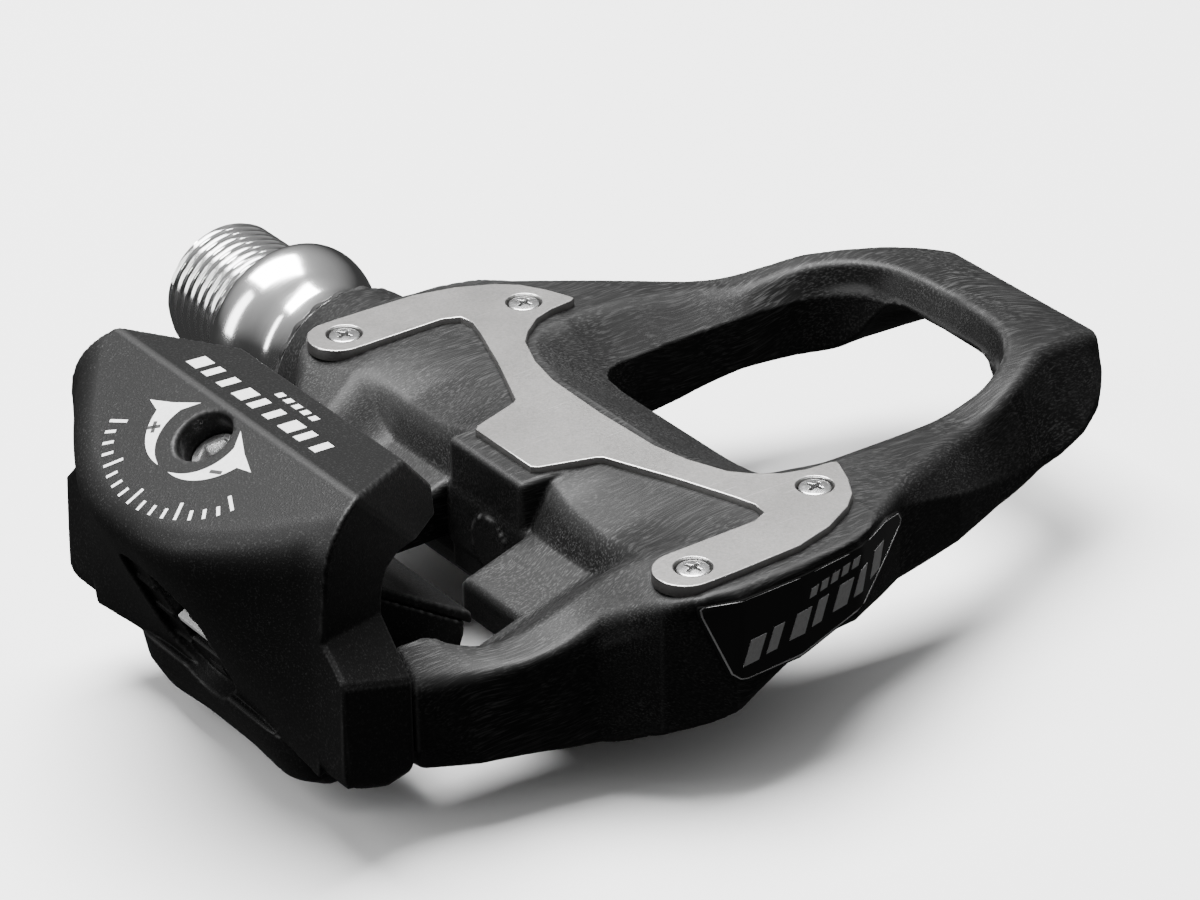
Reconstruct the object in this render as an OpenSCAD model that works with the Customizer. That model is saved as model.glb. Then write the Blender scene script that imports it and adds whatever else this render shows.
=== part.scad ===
// Road clipless pedal, right side, in millimetres.
// Origin: spindle axis at the crank face of the spindle collar.
// +X points forward, +Y towards the crank, +Z up. The platform is symmetric about y = -mid_y,
// and v is the sideways distance from that plane.

/* [Spindle] */
// Crest radius of the pedal thread, for 1/2 inch or 9/16 inch
thread_r = 7.144; // [6.35, 7.144]
// Pitch of the pedal thread, 20 threads per inch
thread_pitch = 1.27; // [1.27]
// Number of thread crests
thread_turns = 9; // [6:1:9]
// Length of the threaded end, from the collar
thread_len = 12.2; // [12.1:0.1:14]
// Radius of the collar's rim, which seats on the crank
lip_r = 9.08; // [8.6:0.02:9.3]
// Largest radius of the polished collar
collar_r = 9.4; // [9.3:0.1:9.8]
// Radius of the neck that enters the platform
neck_r = 6.7; // [6.5:0.05:6.75]
// Hex key size across flats, in the crank end
hex_af = 8; // [6:2:8]
// Depth of the hex socket
hex_depth = 9; // [6:1:12]

/* [Platform] */
// Distance from the collar to the middle of the platform
mid_y = 52; // [52:1:56]
// Height of the cleat plate's top face above the spindle axis
plate_top = 12.26; // [12:0.02:12.6]
// Thickness of the cleat plate
plate_t = 1.2; // [0.8:0.1:1.4]
// Height of the moulded top face under the plate
deck_z = 11.6; // [11.4:0.1:11.6]
// Outer radius of the axle tube in the platform
tube_r = 9.6; // [9.4:0.1:10]
// Bore of the axle tube
bore_r = 8; // [8]
// Half width of the rear bay that the binding turns in
bay_half = 14.6; // [14.6:0.1:15]
// Radius of a cover screw's head
screw_head_r = 1.75; // [1.5:0.05:1.9]

/* [Binding] */
// Forward position of the binding's pivot pin
pivot_x = -29; // [-29]
// Height of the binding's pivot pin
pivot_z = -1; // [-1]
// Radius of the pivot pin
pin_r = 1.75; // [1.5:0.05:1.8]
// Lean of the tension bolt from upright, in degrees
bolt_lean = 26.8; // [26.8]
// Radius of the tension bolt's head
bolt_head_r = 2.6; // [2.4:0.1:2.8]
// Radius of the tension bolt's shank
bolt_r = 2; // [1.5:0.25:2]
// Thickness of the cover over the springs
cover_t = 1; // [0.8:0.1:1]

/* [Bearings] */
// Radius of a bearing ball, 3/32 inch
ball_r = 1.19; // [1.19]
// Balls in the crank side ring
inboard_ball_count = 14; // [10:1:14]
// Balls in the outer ring
outboard_ball_count = 12; // [8:1:12]
// Rollers in the needle bearing
needle_count = 16; // [8:1:16]

/* [Hidden] */
$fn = 64;

steel = [0.80, 0.80, 0.82];
carbon = [0.13, 0.13, 0.14];
plate_grey = [0.66, 0.65, 0.63];
binding_grey = [0.17, 0.17, 0.18];
seal_black = [0.05, 0.05, 0.05];

// Fits
run_gap = 0.05;   // radial clearance of a running fit
race_gap = 0.03;  // clearance of a ball or roller in its race
side_gap = 0.3;   // clearance between bodies that pass each other
eps = 0.01;

// Thread: crests with a short flat, joined by V grooves
crest_flat = 0.3;
root_flat = 0.2;
thread_flank = (thread_pitch - crest_flat - root_flat) / 2;
root_r = thread_r - 0.69;
chamfer_r = thread_r - 0.79;

// Bearing stations along the spindle, and the radii of the ball and roller circles
inboard_y = -22;
inboard_pitch_r = 6;
outboard_y = -68;
outboard_pitch_r = 5.2;
needle_y = -41;
needle_len = 10.4;
needle_r = 0.75;
needle_pitch_r = 5.75;
tube_in_y = -19.6;
tube_out_y = -72;
boss_y = -11.5;
shaft_end_y = -74.8;
bore_end_y = -75.6;
nut_bore_r = 6.2;  // platform's bore past the bearing tube
stud_r = 3;        // spindle's threaded outer end

// Hole for the tension bolt, on the binding's top face
bolt_x = -40.6;
bolt_z = 23.9;
rear_wall_out = -11.35;  // outer face of the binding's rear wall, in the bolt's frame
rear_wall_in = -9.2;
window_r = 4.5;          // half width of the oval recess in the rear wall
window_top_z = -7.5;
window_low_z = -18.8;
cheek_out = 14.3;
cheek_in = 10.2;
arm_half = 21.2;
rail_end_x = -33.3;
rail_end_r = 4.3;

// Half of the platform's outline seen from above, as [x, v]
outline_half = [
    [rail_end_x, 20.9], [-22, 22.4], [-17, 24.3], [-13, 29.2], [-7, 32.6], [0, 32.3],
    [7, 31.4], [11.6, 29], [15.3, 27], [24.8, 23.9], [32.5, 20.4], [39.8, 17.7],
    [42.8, 17.1], [46.7, 15.8], [52.75, 10.4]
];
// Half of the front loop's opening, as [x, v]
loop_half = [
    [10.2, 0], [10.3, 10], [11.6, 12.8], [14, 13.6], [30, 13.7], [36, 13.2], [39.6, 11.2],
    [41.6, 7.6], [42.2, 0]
];
// The wider rim above the loop's ledge
rim_half = [
    [3.4, 0], [3.6, 8], [4.9, 14], [6.6, 16.8], [11, 17.8], [16.2, 18.3], [22.6, 17.6],
    [30.1, 15.7], [34.5, 15.3], [37.9, 13.5], [40.4, 11.1], [42.6, 5], [43, 0]
];
// Side view of the platform, as [x, z]: top from the rear, then underside from the front
side_top = [
    [rail_end_x, 6.2], [-24, 6.6], [-20, 7.8], [-14, 10.4], [-9.5, deck_z], [14, deck_z],
    [22, 10.7], [28, 9.8], [34, 10.3], [39, 11.3], [43, 11.4], [52.75, 8.85]
];
side_under = [
    [52.75, 4.6], [46, 4.8], [41, 1], [36, -1.5], [18, -1], [8, -0.6], [-4, -0.8],
    [-10, -1.4], [-17.5, -4], [-26, -4.7], [-29, -4.7]
];
// Half of the cleat plate's outline, from the rear tongue round the wing to the front
plate_tip = [-9.2, 27.6];
plate_tip_r = 3.05;
plate_half = concat(
    [[-9.4, 4.8], [-3.3, 6.85], [-2.3, 9.1], [-0.3, 14], [1.8, 19.9], [2.45, 22.2], [2.2, 24],
     [0.6, 24.55]],
    [for (a = [270:-15:90]) plate_tip + plate_tip_r * [cos(a), sin(a)]],
    [[-5.6, 30.65], [1.1, 30.5], [5.3, 29.3], [8.8, 27.5], [10.6, 25.9], [12, 23.5],
     [13.1, 20.8], [13.2, 20.3], [10, 19.85], [7.8, 19.15], [5.6, 17.4], [4.2, 16],
     [2.7, 12], [1.85, 8.5], [1.7, 3]]
);
screw_at = [[-8.5, 27.7], [8.8, 22.7]];   // cover screws, mirrored to the other side

// Binding's side view, as [x, z]
claw_side = [
    [-24.4, 18.4], [-28.6, 23.2], [-37.5, 25.5], [-50.4, 18.9], [-50.2, 17.6], [-40.8, -1.4],
    [-39.4, -3.2], [-33.6, -3.2], [-33.6, 9.8], [-33.2, 15.2], [-31.6, 16.4], [-24.6, 15.8]
];
// Half of the head's outline seen from above, as [x, v], and of its section seen from behind, as [v, z]
head_half = [
    [-24.4, 11.6], [-28.6, 13.2], [-37.5, 19.74], [-42, 20.3], [-45, 17.6], [-48, 11.8],
    [-49.8, 6], [-50.4, 2]
];
head_section = [[15.6, -4], [15.6, 11], [19.9, 21], [20.4, 23], [20.4, 27]];
// Half of the two arms' outline seen from above, as [x, v]
arms_half = [[-33.1, arm_half], [-42.6, arm_half], [-46, 14], [-47, 0]];
arm_top_z = 8.6;
housing_z = -5.8;   // underside of the housing round the springs

// Four points of a Catmull-Rom stretch give a curve through the middle two
function curve_point(p, t) =
    0.5 * (2 * p[1] + (p[2] - p[0]) * t + (2 * p[0] - 5 * p[1] + 4 * p[2] - p[3]) * t * t
           + (3 * p[1] - p[0] - 3 * p[2] + p[3]) * t * t * t);
function curve(p, steps = 3) =
    let (last = len(p) - 1)
    [for (i = [0:last - 1], s = [0:(i == last - 1 ? steps : steps - 1)])
        curve_point([p[max(i - 1, 0)], p[i], p[i + 1], p[min(i + 2, last)]], s / steps)];
function both_sides(p) =
    concat(p, [for (i = [len(p) - 1:-1:0]) if (p[i][1] > 0) [p[i][0], -p[i][1]]]);

function both_sides_up(p) =
    concat(p, [for (i = [len(p) - 1:-1:0]) [-p[i][0], p[i][1]]]);

module at_mid() {
    translate([0, -mid_y, 0]) children();
}

// Turns a shape made along +Z so that it lies along the spindle, from y = 0
module along_spindle() {
    rotate([-90, 0, 0]) children();
}

// Ring of revolution about the spindle, between two stations
module ring(outer, inner, y_low, y_high) {
    translate([0, y_low, 0]) along_spindle() difference() {
        cylinder(r = outer, h = y_high - y_low);
        if (inner > 0) translate([0, 0, -1]) cylinder(r = inner, h = y_high - y_low + 2);
    }
}

// Copies a shape evenly round the spindle
module round_spindle(count) {
    for (i = [0:count - 1]) rotate([0, i * 360 / count, 0]) children();
}

// Prism with its section in the XZ plane, between v_low and v_high
module side_prism(points, v_low, v_high) {
    translate([0, v_high, 0]) rotate([90, 0, 0]) linear_extrude(v_high - v_low) polygon(points);
}

module plan_prism(points, z_low, z_high) {
    translate([0, 0, z_low]) linear_extrude(z_high - z_low) polygon(points);
}

// Cylinder across the platform, about the binding's pivot
module pivot_cylinder(radius, v_low, v_high) {
    translate([pivot_x, v_low, pivot_z]) rotate([-90, 0, 0]) cylinder(r = radius, h = v_high - v_low);
}

// Frame of the tension bolt: origin at its hole, +Z out of the top face, -X to the rear wall
module bolt_frame() {
    translate([bolt_x, -mid_y, bolt_z]) rotate([0, -bolt_lean, 0]) children();
}

module at_screws() {
    for (p = screw_at, side = [-1, 1]) at_mid() translate([p[0], side * p[1], 0]) children();
}

// ---- spindle ----

module spindle() {
    thread = [for (i = [thread_turns - 1:-1:0], k = [0:3])
        k == 0 ? [thread_r, i * thread_pitch + crest_flat]
        : k == 1 ? [thread_r, i * thread_pitch]
        : k == 2 ? [i > 0 ? root_r : thread_r, i > 0 ? i * thread_pitch - thread_flank : 0]
        : [i > 0 ? root_r : lip_r, i > 0 ? i * thread_pitch - thread_flank - root_flat : 0]];
    crank_end = [[0, thread_len], [chamfer_r, thread_len]];
    collar = [[lip_r, -0.1], [collar_r - 0.1, -0.35], [collar_r, -1.1], [collar_r - 0.2, -2.2],
              [8.75, -3.4], [8, -4.6], [7.3, -5.6], [neck_r, -6.8]];
    shoulder_y = inboard_y + ball_r + race_gap + 0.02;
    shaft = [[neck_r, shoulder_y + 0.55], [5.9, shoulder_y + 0.55], [5.9, shoulder_y],
             [inboard_pitch_r - ball_r - race_gap, shoulder_y],
             [inboard_pitch_r - ball_r - race_gap, -33.5],
             [needle_pitch_r - needle_r - race_gap, -33.9],
             [needle_pitch_r - needle_r - race_gap, -48], [4.2, -48.6], [4.2, -58],
             [stud_r, -58.6], [stud_r, shaft_end_y], [0, shaft_end_y]];
    clean_thread = [for (i = [0:len(thread) - 1])
        if (i == 0 || norm(thread[i] - thread[i - 1]) > eps) thread[i]];
    color(steel) difference() {
        along_spindle() rotate_extrude($fn = 96) polygon(concat(crank_end, clean_thread, collar, shaft));
        translate([0, thread_len - hex_depth, 0]) along_spindle()
            cylinder(r = hex_af / 2 / cos(30), h = hex_depth + 1, $fn = 6);
    }
}

module outboard_cone() {
    race_r = outboard_pitch_r - ball_r - race_gap;
    shoulder_y = outboard_y - ball_r - race_gap - 0.02;
    color(steel) difference() {
        union() {
            ring(race_r, stud_r, shoulder_y - 0.1, outboard_y + 1.8);
            ring(5.5, stud_r, tube_out_y + 0.8, shoulder_y);
        }
    }
}

module tab_washer() {
    color(steel) ring(5, stud_r, tube_out_y, tube_out_y + 0.8);
}

module spindle_locknut() {
    across_flats = 9;
    color(steel) difference() {
        translate([0, tube_out_y - 2.4, 0]) along_spindle()
            cylinder(r = across_flats / 2 / cos(30), h = 2.4, $fn = 6);
        ring(stud_r, 0, tube_out_y - 3, tube_out_y + 1);
    }
}

// ---- bearings ----

module ball_ring(count, pitch_r, y) {
    round_spindle(count) translate([pitch_r, y, 0]) sphere(r = ball_r, $fn = 32);
}

module inboard_balls() {
    color(steel) ball_ring(inboard_ball_count, inboard_pitch_r, inboard_y);
}

module outboard_balls() {
    color(steel) ball_ring(outboard_ball_count, outboard_pitch_r, outboard_y);
}

module needle_rollers() {
    color(steel) round_spindle(needle_count)
        translate([needle_pitch_r, needle_y - needle_len / 2, 0]) along_spindle()
            cylinder(r = needle_r, h = needle_len, $fn = 32);
}

module needle_cage() {
    half = needle_len / 2 + 0.1;
    color("goldenrod") {
        union() {
            ring(6.4, 5.1, needle_y + half, needle_y + half + 0.6);
            ring(6.4, 5.1, needle_y - half - 0.6, needle_y - half);
            rotate([0, 180 / needle_count, 0]) round_spindle(needle_count)
                translate([5.35, needle_y - half - 0.3, -0.22]) cube([0.8, 2 * half + 0.6, 0.44]);
        }
    }
}

module bearing_tube() {
    color(steel) difference() {
        ring(bore_r, 6.9, tube_out_y, tube_in_y);
        ring(7.6, 0, -24.2, tube_in_y + 1);
    }
}

module inboard_cup() {
    lip_y = inboard_y - ball_r - race_gap - 0.03;
    color(steel) difference() {
        ring(7.6, 6.3, -24.2, -20.6);
        ring(inboard_pitch_r + ball_r + race_gap, 0, lip_y, -20);
    }
}

module outboard_cup() {
    lip_y = outboard_y + ball_r + race_gap + 0.03;
    color(steel) difference() {
        ring(6.9, 5.5, outboard_y - 2.2, outboard_y + 2.6);
        ring(outboard_pitch_r + ball_r + race_gap, 0, outboard_y - 3, lip_y);
    }
}

module needle_shell() {
    color(steel) ring(6.9, needle_pitch_r + needle_r + 0.02, needle_y - 6, needle_y + 6);
}

module lock_sleeve() {
    color(carbon) difference() {
        union() {
            ring(bore_r, neck_r + 2 * run_gap, tube_in_y, boss_y + eps);
            ring(8.9, neck_r + 2 * run_gap, boss_y, boss_y + 0.9);
        }
        ring(7.6, 0, boss_y - 3, boss_y - 0.6);
    }
}

module dust_seal() {
    color(seal_black) ring(7.6, neck_r + run_gap, boss_y - 3, boss_y - 0.6);
}

// ---- platform ----

module body_blank() {
    outline = both_sides(curve(outline_half));
    side = concat(side_top, side_under,
        [for (a = [240:-15:180]) [pivot_x + rail_end_r * cos(a), pivot_z + rail_end_r * sin(a)]]);
    ridge = [[rail_end_x, -1], [rail_end_x, 9.4], [-28, 8.2], [-20, 7.4], [-12, 10.6], [-12, -1]];
    intersection() {
        plan_prism(outline, -8, 13);
        side_prism(side, -40, 40);
    }
    intersection() {
        plan_prism(both_sides([[rail_end_x, 17.2], [-26, 19.5], [-19, 20.6], [-12, 22.6]]), -2, 13);
        side_prism(ridge, -40, 40);
    }
}

// Bay behind the platform, with the two sloping pads beside the middle block
module rear_pockets() {
    plan_prism([[-40, -bay_half], [-18.1, -bay_half], [-18.1, bay_half], [-40, bay_half]], -9, 14);
    for (side = [-1, 1]) intersection() {
        side_prism([[-19, 4.4], [-18.1, 4.7], [-11.7, 7.1], [0.2, deck_z], [0.2, 14], [-19, 14]], -40, 40);
        plan_prism([for (p = [[-19, 5.8], [-19, bay_half], [-12, 19.5], [-3.5, 23.2], [0.4, 20.5], [-2.6, 12],
                              [-4, 7.6], [-9.6, 5.8]]) [p[0], side * p[1]]], 3, 14);
    }
    plan_prism([[-19, -5.81], [-11.7, -5.81], [-11.7, 5.81], [-19, 5.81]], -9, 14);
    plan_prism([[-19, -bay_half], [-10.6, -bay_half], [-10.6, bay_half], [-19, bay_half]], -9, 0.9);
}

module body_shell() {
    color(carbon) difference() {
        union() {
            at_mid() difference() {
                body_blank();
                rear_pockets();
                plan_prism(both_sides(curve(loop_half)), -9, 14);
                plan_prism(both_sides(curve(rim_half, 2)), 8, 14);
            }
            ring(tube_r, 0, tube_out_y, -20);
            translate([0, -20, 0]) along_spindle() cylinder(r1 = tube_r, r2 = 9.3, h = 20 + boss_y);
            translate([0, -mid_y - 31.6, 0]) along_spindle()
                cylinder(r1 = 4.5, r2 = tube_r, h = mid_y + 31.6 + tube_out_y);
        }
        ring(bore_r, 0, tube_out_y, boss_y + 1);
        ring(nut_bore_r, 0, bore_end_y, boss_y);
        at_mid() plan_prism(both_sides(plate_half), plate_top - plate_t, plate_top + 1);
        at_screws() cylinder(r = 1.25, h = plate_top);
        at_mid() pivot_cylinder(pin_r, -17.5, 25);
    }
}

module cover_plate() {
    color(plate_grey) difference() {
        at_mid() plan_prism(both_sides(plate_half), plate_top - plate_t, plate_top);
        at_screws() {
            cylinder(r = 1.25, h = plate_top + 1);
            translate([0, 0, plate_top - 1]) cylinder(r1 = 1.25, r2 = screw_head_r, h = 0.8);
            translate([0, 0, plate_top - 0.2]) cylinder(r = screw_head_r, h = 1);
        }
    }
}

module cover_screws() {
    color(steel) difference() {
        at_screws() {
            translate([0, 0, 4]) cylinder(r = 1.2, h = plate_top - 5 + eps);
            translate([0, 0, plate_top - 1]) cylinder(r1 = 1.2, r2 = screw_head_r - run_gap, h = 0.8);
            translate([0, 0, plate_top - 0.2 - eps]) cylinder(r = screw_head_r - run_gap, h = 0.1);
        }
        at_screws() for (turn = [0, 90]) rotate([0, 0, turn + 20])
            translate([-0.95, -0.19, plate_top - 0.9]) cube([1.9, 0.38, 2]);
    }
}

module pivot_pin() {
    color(steel) at_mid() pivot_cylinder(pin_r, -17.4, 20);
}

// Thin label along the outer wall, bent to the outline
module side_label() {
    label = [[-11, 10.6], [-8.3, 3.2], [-6.8, 2.4], [-0.5, 2.4], [8, 4.4], [15.4, 8.6], [15.2, 9.6], [12, 10.6]];
    outline = curve(outline_half);
    grown = [for (p = outline) [p[0], -p[1] - 0.3]];
    band = concat(grown, [for (i = [len(outline) - 1:-1:0]) [outline[i][0], -outline[i][1]]]);
    color(seal_black) at_mid() intersection() {
        side_prism(label, -40, -20);
        plan_prism(band, 0, 13);
    }
}

// ---- binding ----

module rear_claw() {
    cheek = concat(
        [[-36, 12], [-33.4, 11.9], [-23.6, 5.7], [-24.4, 1.5]],
        [for (a = [20:-20:-100]) [pivot_x + 3.7 * cos(a), pivot_z + 3.7 * sin(a)]],
        [[-36, -4.4]]);
    color(binding_grey) difference() {
        union() {
            at_mid() {
                intersection() {
                    side_prism(claw_side, -30, 30);
                    plan_prism(both_sides(head_half), -8, 30);
                    translate([-60, 0, 0]) rotate([90, 0, 90]) linear_extrude(60)
                        polygon(both_sides_up(head_section));
                }
                intersection() {
                    side_prism(claw_side, -30, 30);
                    plan_prism(both_sides(arms_half), -8, arm_top_z);
                }
                side_prism([[-41, -2], [-39.4, housing_z + 0.8], [-38, housing_z], [-32, housing_z],
                            [-31, -2]], -cheek_out, cheek_out);
            }
            for (side = [-1, 1]) at_mid()
                side_prism(cheek, side > 0 ? cheek_in : -cheek_out, side > 0 ? cheek_out : -cheek_in);
        }
        // Spring bay, open below and towards the pivot
        bolt_frame() translate([rear_wall_in, -cheek_in, -40]) cube([12.4, 2 * cheek_in, 32.2]);
        at_mid() side_prism([[-36, -10], [-36, 11.8], [-20, 1.7], [-20, -10]], -cheek_in, cheek_in);
        // Bolt hole and the counterbore for its head
        bolt_frame() {
            translate([0, 0, -12]) cylinder(r = bolt_r + run_gap, h = 14);
            translate([0, 0, -5.5]) cylinder(r = bolt_head_r + run_gap, h = 10);
        }
        // Recess in the rear wall, with the slot for the pointer
        bolt_frame() {
            for (z = [window_top_z, window_low_z])
                translate([rear_wall_out + 0.9, 0, z]) rotate([0, -90, 0]) cylinder(r = window_r, h = 6);
            translate([rear_wall_out - 5.1, -window_r + eps, window_low_z])
                cube([6, 2 * (window_r - eps), window_top_z - window_low_z]);
            translate([rear_wall_out - 1, -1.5, -22.6]) cube([5, 3, 8]);
        }
        at_mid() {
            pivot_cylinder(pin_r + run_gap, -20, 20);
            for (side = [-1, 1])
                pivot_cylinder(rail_end_r + side_gap, side > 0 ? cheek_out : -25, side > 0 ? 25 : -cheek_out);
        }
    }
}

module spring_cover() {
    color(binding_grey) difference() {
        at_mid() side_prism(
            [[-33.3, 11.88], [-33.3, 11.84 + cover_t * 1.19], [-22.6, 5.07 + cover_t * 1.19], [-22.6, 5.1]],
            -cheek_out, cheek_out);
        // Notch for the tension bolt
        bolt_frame() translate([0, 0, -18]) cylinder(r = bolt_r + 0.4, h = 10);
    }
}

// Coil envelope round the pin with its two straight legs
module torsion_spring(v_low) {
    wire_r = 0.9;
    color(steel) at_mid() {
        difference() {
            union() {
                pivot_cylinder(4.2, v_low, v_low + 6.4);
                translate([pivot_x - 3.15, v_low + 1, pivot_z]) cylinder(r = wire_r, h = 2.8);
                translate([pivot_x, v_low + 5.4, pivot_z - 3.15]) rotate([0, 90, 0]) cylinder(r = wire_r, h = 9);
            }
            pivot_cylinder(2.2, v_low - 1, v_low + 8);
        }
    }
}

module left_spring() {
    torsion_spring(-9.8);
}

module right_spring() {
    torsion_spring(3.4);
}

module tension_bolt() {
    color(steel) bolt_frame() difference() {
        union() {
            translate([0, 0, -24]) cylinder(r = bolt_r, h = 20);
            translate([0, 0, -5.4]) cylinder(r = bolt_head_r, h = 3);
        }
        translate([0, 0, -4.4]) cylinder(r = 3 / 2 / cos(30), h = 5, $fn = 6);
    }
}

module tension_nut() {
    color(steel) bolt_frame() difference() {
        union() {
            translate([-6.5, -8, -23]) cube([8, 16, 4]);
            translate([-10.5, -1.1, -21.5]) cube([5, 2.2, 1]);
        }
        translate([0, 0, -24]) cylinder(r = bolt_r + run_gap, h = 8);
    }
}

spindle();
outboard_cone();
tab_washer();
spindle_locknut();
inboard_balls();
outboard_balls();
needle_rollers();
needle_cage();
body_shell();
cover_plate();
cover_screws();
lock_sleeve();
dust_seal();
bearing_tube();
inboard_cup();
outboard_cup();
needle_shell();
pivot_pin();
side_label();
rear_claw();
spring_cover();
left_spring();
right_spring();
tension_bolt();
tension_nut();
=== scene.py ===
import math
import bpy
import numpy as np
from mathutils import Matrix, Vector


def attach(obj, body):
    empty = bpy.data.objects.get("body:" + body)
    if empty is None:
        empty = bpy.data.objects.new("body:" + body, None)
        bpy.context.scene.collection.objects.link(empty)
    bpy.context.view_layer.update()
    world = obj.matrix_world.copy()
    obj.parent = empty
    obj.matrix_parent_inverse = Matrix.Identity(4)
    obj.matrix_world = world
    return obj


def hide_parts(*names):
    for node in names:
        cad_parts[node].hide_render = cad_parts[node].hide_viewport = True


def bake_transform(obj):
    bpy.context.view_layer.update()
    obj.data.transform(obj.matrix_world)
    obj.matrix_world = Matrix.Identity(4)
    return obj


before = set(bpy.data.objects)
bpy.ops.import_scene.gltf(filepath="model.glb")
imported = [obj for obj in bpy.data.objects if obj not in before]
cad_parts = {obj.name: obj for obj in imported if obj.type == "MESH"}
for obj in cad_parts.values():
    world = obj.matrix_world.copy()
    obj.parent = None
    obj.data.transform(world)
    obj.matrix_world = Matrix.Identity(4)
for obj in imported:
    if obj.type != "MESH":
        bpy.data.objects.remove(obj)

# Modelling is in millimetres as (x, v, z): x forward, v towards the crank from the platform's middle, z up.
MM = 0.001
MID_Y = -52.0
PIVOT = (-29.0, -1.0)
BOLT_ORIGIN = np.array([-40.6, 0.0, 23.9])
BOLT_X = np.array([0.892586, 0.0, 0.450878])
BOLT_Z = np.array([-0.450878, 0.0, 0.892586])
SCREWS = [(-8.5, 27.7), (8.8, 22.7)]
PLATE_TOP = 12.26
DECK = 11.6
LOOP_END, RAIL_END = 52.75, -33.3
PIN_BORE = 1.8
CHEEK_IN, CHEEK_OUT = 10.2, 14.3

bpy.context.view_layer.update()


# ---------------------------------------------------------------- outlines and distance fields

def curve(points, steps=5):
    """A smooth line through the points (Catmull-Rom)."""
    p = np.asarray(points, float)
    p = np.vstack([2 * p[0] - p[1], p, 2 * p[-1] - p[-2]])
    out = []
    for i in range(1, len(p) - 2):
        for t in np.arange(steps) / steps:
            out.append(0.5 * (2 * p[i] + (p[i + 1] - p[i - 1]) * t
                              + (2 * p[i - 1] - 5 * p[i] + 4 * p[i + 1] - p[i + 2]) * t ** 2
                              + (3 * p[i] - p[i - 1] - 3 * p[i + 1] + p[i + 2]) * t ** 3))
    return np.array(out + [p[-2]])


def half(points):
    """Closes the half of a mirrored outline far below its middle line."""
    p = np.asarray(points, float)
    return np.vstack([[p[0, 0], -40], p, [p[-1, 0], -40]])


def outline(points, margin=12.0, step=0.15):
    """Signed distance to a closed outline, negative inside, kept on a fine sheet and read between nodes."""
    p = np.asarray(points, float)
    low, high = p.min(0) - margin, p.max(0) + margin
    low[1] = max(low[1], -10 - margin)
    a = np.arange(low[0], high[0] + step, step)[:, None]
    b = np.arange(low[1], high[1] + step, step)[None, :]
    nearest = np.full((a.shape[0], b.shape[1]), 1e9)
    inside = np.zeros(nearest.shape, bool)
    for (x0, y0), (x1, y1) in zip(p, np.roll(p, -1, axis=0)):
        ex, ey = x1 - x0, y1 - y0
        length2 = ex * ex + ey * ey
        if length2 < 1e-12:
            continue
        t = np.clip(((a - x0) * ex + (b - y0) * ey) / length2, 0, 1)
        nearest = np.minimum(nearest, (a - x0 - ex * t) ** 2 + (b - y0 - ey * t) ** 2)
        if abs(ey) > 1e-12:
            inside ^= ((y0 > b) != (y1 > b)) & (a < ex * (b - y0) / ey + x0)
    sheet = np.where(inside, -1.0, 1.0) * np.sqrt(nearest)

    def distance(x, y):
        u = np.clip((x - low[0]) / step, 0, sheet.shape[0] - 1.001)
        w = np.clip((y - low[1]) / step, 0, sheet.shape[1] - 1.001)
        u, w = np.broadcast_arrays(u, w)
        i, j = u.astype(int), w.astype(int)
        fu, fw = u - i, w - j
        return ((sheet[i, j] * (1 - fu) + sheet[i + 1, j] * fu) * (1 - fw)
                + (sheet[i, j + 1] * (1 - fu) + sheet[i + 1, j + 1] * fu) * fw)
    return distance


def soft_max(a, b, r):
    """Intersection with a rounded edge of about r."""
    h = np.maximum(r - np.abs(a - b), 0) / r
    return np.maximum(a, b) + h * h * r / 4


def soft_min(a, b, r):
    return -soft_max(-a, -b, r)


def bevel(a, b, width):
    """Intersection with a flat chamfer along the edge."""
    return np.maximum(np.maximum(a, b), (a + b + width) * math.sqrt(0.5))


def along(x, points, column=1):
    """Reads a smoothed profile at x."""
    return np.interp(x, points[:, 0], points[:, column])


def smooth(t):
    t = np.clip(t, 0, 1)
    return t * t * (3 - 2 * t)


def box_field(x, v, z, low, high):
    d = np.maximum(np.maximum(low[0] - x, x - high[0]), np.maximum(low[1] - v, v - high[1]))
    return np.maximum(d, np.maximum(low[2] - z, z - high[2]))


# ---------------------------------------------------------------- meshes

def make_object(name, vertices, faces, material, normals=None, painted_edge_highlight=None, smooth_angle=None):
    """An object from points in millimetres in (x, v, z)."""
    points = np.asarray(vertices, float) * MM
    points[:, 1] += MID_Y * MM
    mesh = bpy.data.meshes.new(name)
    mesh.from_pydata(points.tolist(), [], faces if isinstance(faces, list) else faces.tolist())
    mesh.validate()
    mesh.polygons.foreach_set("use_smooth", [True] * len(mesh.polygons))
    # Per-point mark of convex edges, which the materials use to paint edge highlights into the colour.
    if painted_edge_highlight is not None:
        layer = mesh.attributes.new("painted_edge_highlight", "FLOAT", "POINT")
        layer.data.foreach_set("value", np.asarray(painted_edge_highlight, np.float32))
    if normals is not None:
        mesh.normals_split_custom_set_from_vertices(normals.tolist())
    if smooth_angle is not None:
        mesh.set_sharp_from_angle(angle=math.radians(smooth_angle))
    mesh.update()
    obj = bpy.data.objects.new(name, mesh)
    bpy.context.scene.collection.objects.link(obj)
    mesh.materials.append(material)
    return obj


CORNERS = [(i, j, k) for i in (0, 1) for j in (0, 1) for k in (0, 1)]
EDGES = [(a, b) for a in CORNERS for b in CORNERS
         if sum(b) == sum(a) + 1 and all(q >= p for p, q in zip(a, b))]
SLAB = 24  # layers of a field worked out at a time


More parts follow.
